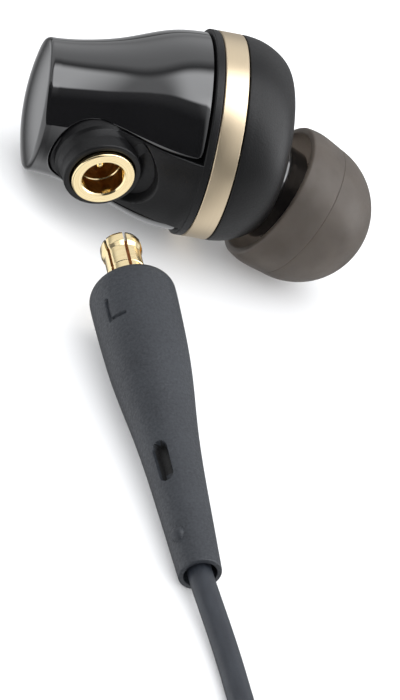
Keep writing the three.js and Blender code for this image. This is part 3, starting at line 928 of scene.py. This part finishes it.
def add_inner_parts(looks):
    """The nozzle's damper, the plug's ferrule, the socket's nut and the wires."""
    steel, copper = looks["steel"], looks["copper"]
    damper = disc(-1.49, 0.49, 1.8, 0.15)
    foam, nodes = looks["foam"], ["acoustic_damper"]
    round_piece("acoustic_damper_plug", damper, NOZZLE, foam, "earphone", nodes, loop=False, sides=64)
    ferrule = at_distance(band(0.32, 6.88, 1.46, 1.89, 0.05, 0.08), SLEEVE_TOP)
    round_piece("plug_ferrule_tube", ferrule, LEAD, steel, "lead", ["plug_ferrule"])
    sides, notches, depth, notch_floor = 192, 6, 0.03, 2.9
    grid = round_grid(band(1.76, 2.39, 2.6, 2.98, 0.05, 0.1), sides)
    outside = np.hypot(grid[:, :, :1], grid[:, :, 1:2]) > notch_floor
    in_notch = np.arange(sides)[None, :, None] % (sides // notches) < 8
    grid[:, :, :2] *= 1 - depth * outside * in_notch
    mesh = mesh_of("socket_nut_notched", [(grid, True)])
    piece("socket_nut_notched", mesh, EARPHONE, steel, "earphone", ["socket_nut"])
    add_wire("signal_wire", (0.2, 0, -SOCKET_BEHIND), (0.8, 0, -5.1), copper)
    add_wire("ground_wire", (1.25, 2.05, -SOCKET_BEHIND + 0.2), (0, 1.6, -5.1), copper)


def add_wire(name, start, end, look):
    """A stranded wire between two places in the housing, bowed a little like its CAD tube."""
    start, end = np.array(start, float), np.array(end, float)
    middle = (start + end) / 2 + np.array([0.3, 0.3, 0])
    line = smooth_line([start, middle, end], 25)
    ahead = np.gradient(line, axis=0)
    ahead /= np.linalg.norm(ahead, axis=1)[:, None]
    side = np.cross(ahead, (0, 1, 0.2))
    side /= np.linalg.norm(side, axis=1)[:, None]
    other = np.cross(ahead, side)
    strands, strand_sides = 7, 6
    turn = np.linspace(0, 2 * math.pi, strands * strand_sides, endpoint=False)
    twist = turn[None, :] * strands + np.arange(len(line))[:, None] * 0.5
    radius = (0.2 + 0.02 * np.abs(np.cos(twist / 2)))[:, :, None]
    across = side[:, None] * np.cos(turn)[None, :, None] + other[:, None] * np.sin(turn)[None, :, None]
    tube = line[:, None] + radius * across
    ends = [np.repeat(line[i][None, None], len(turn), axis=1) for i in (0, -1)]
    mesh = mesh_of(f"{name}_strand", [(np.concatenate([ends[0], tube, ends[1]]), False)], sharp=70)
    piece(f"{name}_strand", mesh, HOUSING, look, "earphone", [name])


# ---- Materials ----


def add_node(tree, kind, inputs=(), **settings):
    """A shader node, its inputs linked to sockets or set to values."""
    made = tree.nodes.new("ShaderNode" + kind)
    for setting, value in settings.items():
        setattr(made, setting, value)
    for socket, value in dict(inputs).items():
        if isinstance(value, bpy.types.NodeSocket):
            tree.links.new(value, made.inputs[socket])
        else:
            made.inputs[socket].default_value = value
    return made


class Look:
    """A material on one Principled shader, with object coordinates in millimetres."""

    def __init__(self, name, **sockets):
        self.made = bpy.data.materials.new(name)
        self.made.use_nodes = True
        self.tree = self.made.node_tree
        self.shader = self.tree.nodes["Principled BSDF"]
        for socket, value in sockets.items():
            self.shader.inputs[socket.replace("_", " ")].default_value = value

    def node(self, kind, inputs=(), **settings):
        return add_node(self.tree, kind, inputs, **settings)

    def place(self, stretch=(1, 1, 1)):
        where = self.node("TexCoord").outputs["Object"]
        scale = [1000 * s for s in stretch]
        return self.node("Mapping", {"Vector": where, "Scale": scale}).outputs["Vector"]

    def noise(self, size, detail=2, stretch=(1, 1, 1), where=None):
        """Noise whose features are about a size in millimetres."""
        spot = self.place(stretch) if where is None else where
        return self.node("TexNoise", {"Vector": spot, "Scale": 1 / size, "Detail": detail}).outputs["Fac"]

    def link(self, output, socket):
        self.tree.links.new(output, self.shader.inputs[socket])

    def spread(self, socket, factor, low, high, start=0.3, end=0.7):
        """Gives a socket values or colours that go from low to high over a factor."""
        ramp = self.node("ValToRGB", {"Fac": factor})
        for element, position, colour in zip(ramp.color_ramp.elements, (start, end), (low, high)):
            element.position = position
            element.color = (*colour, 1) if isinstance(colour, tuple) else (colour, colour, colour, 1)
        self.link(ramp.outputs["Color"], socket)

    def bump(self, height, depth, before=None):
        """A bump of a depth in millimetres, on top of another one."""
        inputs = {"Height": height, "Distance": depth * MM}
        if before is not None:
            inputs["Normal"] = before
        return self.node("Bump", inputs).outputs["Normal"]


def gloss_look():
    """Black piano lacquer: deep, nearly mirror smooth, with the faintest haze and waviness."""
    look = Look("gloss_black", Coat_Weight=1.0, Coat_Roughness=0.02, IOR=1.55)
    look.spread("Roughness", look.noise(3, 3), 0.02, 0.05, start=0.35)
    look.spread("Base Color", look.noise(6, 2), (0.0035, 0.0035, 0.004), (0.0055, 0.0055, 0.006))
    look.link(look.bump(look.noise(1.4, 1), 0.0008), "Normal")
    return look.made


def moulded_look(name, dark, light, roughness, grain, depth, **sockets):
    """Moulded plastic or rubber with the even grain of a spark-eroded mould."""
    look = Look(name, **sockets)
    fine = look.noise(grain, 3)
    broad = look.noise(5, 3)
    tone = look.node("Mix", {"Factor": 0.35, "A": fine, "B": broad}, data_type="FLOAT")
    look.spread("Base Color", tone.outputs["Result"], dark, light, 0.35, 0.65)
    look.spread("Roughness", fine, roughness + 0.08, roughness - 0.08)
    cells = {"Vector": look.place(), "Scale": 0.8 / grain}
    pits = look.node("TexVoronoi", cells, feature="SMOOTH_F1").outputs["Distance"]
    look.link(look.bump(pits, depth, look.bump(fine, depth)), "Normal")
    return look.made


def around(look):
    """(angle round the piece's axis, distance from it, place along it), in radians and millimetres."""
    where = look.node("Attribute", attribute_name="local_place").outputs["Vector"]
    spot = look.node("VectorMath", {0: where, "Scale": 1000}, operation="SCALE").outputs["Vector"]
    split = look.node("SeparateXYZ", {"Vector": spot})
    x, y, z = (split.outputs[side] for side in "XYZ")
    turn = look.node("Math", {0: y, 1: x}, operation="ARCTAN2").outputs[0]
    flat = look.node("CombineXYZ", {"X": x, "Y": y}).outputs[0]
    radius = look.node("VectorMath", {0: flat}, operation="LENGTH").outputs["Value"]
    return turn, radius, z


def brushed_look(name, dark, light, roughness, along_weight=60, turn_weight=1.5, **sockets):
    """Metal with fine lines running round its axis."""
    look = Look(name, Metallic=1, **sockets)
    turn, radius, z = around(look)
    depth = look.node("Math", {0: radius, 1: along_weight}, operation="MULTIPLY").outputs[0]
    run = look.node("Math", {0: turn, 1: turn_weight}, operation="MULTIPLY").outputs[0]
    side = look.node("Math", {0: z, 1: along_weight}, operation="MULTIPLY").outputs[0]
    spot = look.node("CombineXYZ", {"X": run, "Y": side, "Z": depth}).outputs[0]
    lines = look.noise(1, 3, where=spot)
    look.spread("Base Color", lines, dark, light)
    look.spread("Roughness", lines, roughness + 0.05, roughness - 0.05)
    look.link(look.bump(lines, 0.0006), "Normal")
    way = look.node("Attribute", attribute_name="way_round").outputs["Vector"]
    turned_way = look.node(
        "VectorTransform", {"Vector": way}, vector_type="VECTOR", convert_from="OBJECT", convert_to="WORLD"
    )
    look.link(turned_way.outputs[0], "Tangent")
    return look.made


def silicone_look():
    """Smoky translucent silicone with a dusty satin skin."""
    look = Look(
        "smoky_silicone",
        IOR=1.41,
        Transmission_Weight=0.6,
        Subsurface_Weight=0.2,
        Subsurface_Radius=(1, 0.75, 0.6),
        Subsurface_Scale=0.0012,
    )
    look.spread("Base Color", look.noise(2.5, 3), (0.13, 0.107, 0.088), (0.185, 0.155, 0.13))
    look.spread("Roughness", look.noise(0.25, 3), 0.42, 0.52)
    look.link(look.bump(look.noise(0.12, 2), 0.002), "Normal")
    return look.made


def cord_look():
    """A satin cord jacket with fine die lines."""
    look = Look("cord_jacket", Specular_IOR_Level=0.45)
    die_lines = look.noise(0.5, 3, (1, 0.25, 1))
    look.spread("Base Color", die_lines, (0.016, 0.0185, 0.025), (0.024, 0.0285, 0.036))
    look.spread("Roughness", look.noise(0.2, 3), 0.5, 0.4)
    look.link(look.bump(look.noise(0.14, 2), 0.003), "Normal")
    return look.made


# A near-black material for the floor of the sleeve's window: painted shade standing in for the shade deep in the
# recess.
def painted_shade_window_look():
    return moulded_look("window_painted_shade", (0.004, 0.004, 0.004), (0.009, 0.009, 0.009), 0.6, 0.15, 0.006)


def make_looks():
    """Each look as its material and its slot in the record."""
    matte = (0.0028, 0.0028, 0.0032), (0.0056, 0.0056, 0.006), 0.4, 0.11, 0.006
    champagne = (0.70, 0.575, 0.40), (0.74, 0.615, 0.435), 0.33
    gold = (0.90, 0.71, 0.38), (1.0, 0.84, 0.52), 0.16, 30, 1.0
    rubber = (0.014, 0.016, 0.0205), (0.027, 0.031, 0.037), 0.5, 0.18, 0.02
    insulator = (0.16, 0.055, 0.018), (0.28, 0.11, 0.04), 0.4, 0.3, 0.002
    steel = (0.42, 0.42, 0.43), (0.62, 0.62, 0.63), 0.32
    copper = (0.70, 0.30, 0.16), (0.86, 0.44, 0.26), 0.25, 40, 1.0
    film = (0.10, 0.10, 0.11), (0.20, 0.20, 0.21), 0.35, 0.5, 0.002
    foam = (0.03, 0.03, 0.03), (0.12, 0.12, 0.12), 0.9, 0.2, 0.03
    board = (0.01, 0.07, 0.03), (0.02, 0.12, 0.05), 0.35, 0.4, 0.003
    return {
        "gloss": (gloss_look(), "gloss_shell"),
        "matte": (moulded_look("matte_black", *matte, Specular_IOR_Level=0.28), "matte_shell"),
        "champagne": (brushed_look("champagne_metal", *champagne, Anisotropic=0.25), "champagne_ring"),
        "gold": (brushed_look("gold_plate", *gold, Anisotropic=0.3), "gold_contact"),
        "silicone": (silicone_look(), "silicone_tip"),
        "rubber": (moulded_look("sleeve_rubber", *rubber, Specular_IOR_Level=0.45), "sleeve_rubber"),
        "insulator": (moulded_look("amber_insulator", *insulator), "dark_insulator"),
        "steel": (brushed_look("turned_steel", *steel, Anisotropic=0.4), "steel_part"),
        "copper": (brushed_look("copper_wire", *copper), "copper_wire"),
        "film": (moulded_look("driver_film", *film), "foam_part"),
        "foam": (moulded_look("acoustic_foam", *foam), "foam_part"),
        "board": (moulded_look("solder_mask", *board), "circuit_board"),
    }


# ---- Floor and light ----


def add_floor():
    look = Look("floor", Roughness=0.9, Specular_IOR_Level=0.0)
    look.spread("Base Color", look.noise(40, 2), (0.9, 0.9, 0.9), (0.93, 0.93, 0.93))
    half = 12.0
    corners = [(-half, -half, 0), (half, -half, 0), (half, half, 0), (-half, half, 0)]
    mesh = bpy.data.meshes.new("floor")
    mesh.from_pydata(corners, [], [(0, 1, 2, 3)])
    mesh.materials.append(look.made)
    floor = bpy.data.objects.new("floor", mesh)
    floor.location = (0, 0, -0.00003)
    floor.visible_glossy = False
    SCENE.collection.objects.link(floor)


def add_softbox(name, place, aim, size, radiance):
    """An area light at a place in metres that faces a point. It casts no shadow and isn't mirrored."""
    data = bpy.data.lights.new(name, "AREA")
    data.shape = "RECTANGLE"
    data.size, data.size_y = size
    data.energy = radiance * math.pi * size[0] * size[1]
    data.use_shadow = False
    light = bpy.data.objects.new(name, data)
    light.visible_glossy = False
    light.location = place
    light.rotation_mode = "QUATERNION"
    light.rotation_quaternion = (Vector(aim) - Vector(place)).to_track_quat("-Z", "Y")
    SCENE.collection.objects.link(light)


SOFT_LIGHT = 1.55


def add_world():
    """Soft even light, and for reflections a dim room: a long softbox overhead, a lit side, light from below."""
    world = bpy.data.worlds.new("studio")
    world.use_nodes = True
    SCENE.world = world
    tree = world.node_tree

    def math_of(operation, *values):
        return add_node(tree, "Math", dict(enumerate(values)), operation=operation).outputs[0]

    def ease(value, start, end, low=0.0, high=1.0):
        spread = {"Value": value, "From Min": start, "From Max": end, "To Min": low, "To Max": high}
        return add_node(tree, "MapRange", spread, interpolation_type="SMOOTHSTEP").outputs[0]

    split = tree.nodes.new("ShaderNodeSeparateXYZ")
    tree.links.new(tree.nodes.new("ShaderNodeTexCoord").outputs["Generated"], split.inputs[0])
    x, y, z = (split.outputs[side] for side in "XYZ")
    height = math_of("MAXIMUM", z, 0.01)
    across, away = math_of("DIVIDE", x, height), math_of("DIVIDE", y, height)
    slanted = math_of("MULTIPLY_ADD", across, 0.4, away)
    room = math_of("MULTIPLY", ease(away, 0.35, 0.7, 0.27, 1.15), ease(away, 5.0, 1.0, 0.5, 1.0))
    room = math_of("MULTIPLY", room, ease(slanted, -1.2, -0.55, 0.15, 0.8))
    side = math_of("MULTIPLY", ease(across, -0.35, -0.13), ease(away, -6.0, -0.5, 0.3, 0.9))
    side = math_of("MULTIPLY", side, ease(away, -0.2, -0.45))
    panel = math_of("MULTIPLY", ease(slanted, -0.62, -0.52), ease(away, 0.42, 0.18))
    panel = math_of("MULTIPLY", panel, ease(across, -0.85, -0.3, 0.75, 3.2))
    total = math_of("ADD", math_of("ADD", room, side), panel)
    below = math_of("MULTIPLY", ease(x, 0.05, 0.4, 0.25, 1.05), ease(y, 0.3, -0.3, 0.4, 1.0))
    below = math_of("ADD", below, ease(x, 0.1, -0.45, 0.0, 1.1))
    below = math_of("MULTIPLY", below, ease(z, 0.0, -0.03))
    total = math_of("MULTIPLY_ADD", total, ease(z, 0.0, 0.03), below)
    rays = tree.nodes.new("ShaderNodeLightPath")
    shares = {0: rays.outputs["Is Glossy Ray"], 2: SOFT_LIGHT, 3: total}
    strength = add_node(tree, "Mix", shares, data_type="FLOAT").outputs[0]
    background = tree.nodes["Background"]
    background.inputs["Color"].default_value = (0.97, 0.98, 1.0, 1)
    tree.links.new(strength, background.inputs["Strength"])


# ---- The whole ----

add_camera()
looks = make_looks()
cord = add_cord(cord_look())
jack = add_jack(looks["rubber"], looks["matte"], looks["gold"], looks["insulator"])
tie = add_tie(looks["rubber"])
add_sleeve(looks["rubber"], painted_shade_window_look())
add_plug(looks["gold"], looks["insulator"])
add_rear_cover(looks["gloss"])
add_rear_housing(looks["matte"])
add_trim_ring(looks["champagne"])
add_front_housing(looks["matte"])
add_driver(looks)
add_inner_parts(looks)
add_nozzle(looks["gloss"])
add_nozzle_mesh(looks["steel"])
add_ear_tip(looks["silicone"])
add_socket(looks["gold"], looks["insulator"])
add_floor()
add_world()
add_softbox("key", (0.1, 0.25, 1.4), (0, 0, 0), (1.2, 0.7), 1.2)
SCENE.view_settings.view_transform = "Standard"
